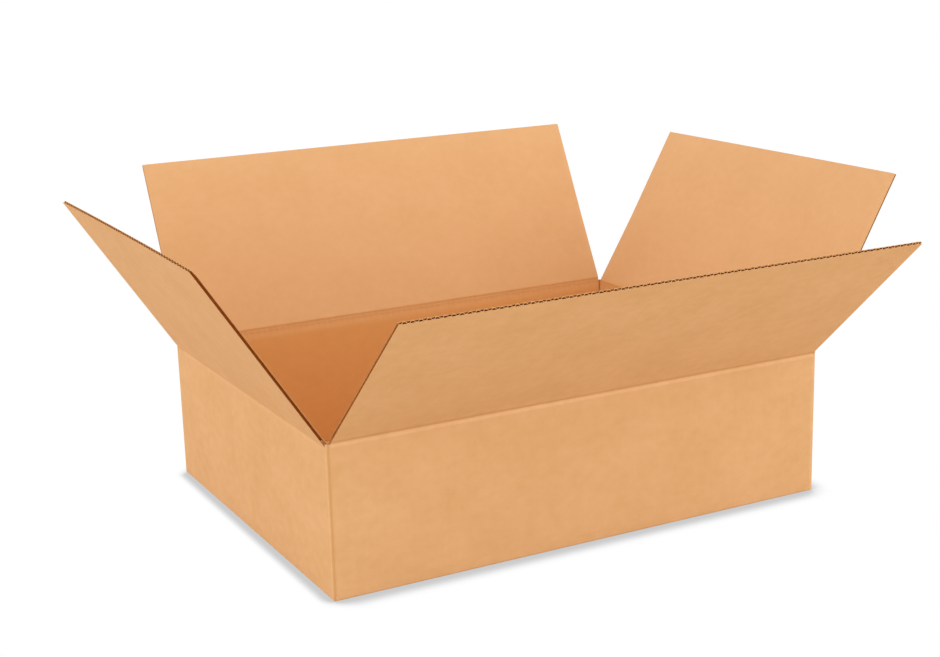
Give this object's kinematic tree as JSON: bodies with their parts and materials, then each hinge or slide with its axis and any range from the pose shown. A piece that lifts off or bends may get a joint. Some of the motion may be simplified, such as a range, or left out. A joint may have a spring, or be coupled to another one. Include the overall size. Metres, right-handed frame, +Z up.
{
  "type": "open shallow corrugated cardboard box",
  "caption": "Shallow slotted shipping box of brown corrugated board, erected and open, with its top flaps hinged on their creases and leaning outwards.",
  "frame": {"origin": "middle of the underside, on the seam of the bottom flaps and on the surface the box stands on", "axes": "+X along the long walls towards the right wall, +Y from the front wall to the back wall, +Z up"},
  "size_m": [0.8606, 0.7409, 0.3781],
  "materials": {
    "kraft_board": "matt unbleached kraft liner"
  },
  "bodies": {
    "box_body": {"box_body": "kraft_board"},
    "front_flap": {"front_flap": "kraft_board"},
    "back_flap": {"back_flap": "kraft_board"},
    "left_flap": {"left_flap": "kraft_board"},
    "right_flap": {"right_flap": "kraft_board"}
  },
  "joints": [
    {"name": "front_flap_fold", "type": "hinge", "parent": "box_body", "child": "front_flap", "pos_m": [0, -0.23275, 0.16905], "axis": [1, 0, 0], "range_deg": [-137, 87]},
    {"name": "back_flap_fold", "type": "hinge", "parent": "box_body", "child": "back_flap", "pos_m": [0, 0.23275, 0.16905], "axis": [-1, 0, 0], "range_deg": [-117, 107]},
    {"name": "left_flap_fold", "type": "hinge", "parent": "box_body", "child": "left_flap", "pos_m": [-0.30895, 0, 0.16475], "axis": [0, -1, 0], "range_deg": [-123, 101]},
    {"name": "right_flap_fold", "type": "hinge", "parent": "box_body", "child": "right_flap", "pos_m": [0.30895, 0, 0.16475], "axis": [0, 1, 0], "range_deg": [-120, 104]}
  ]
}
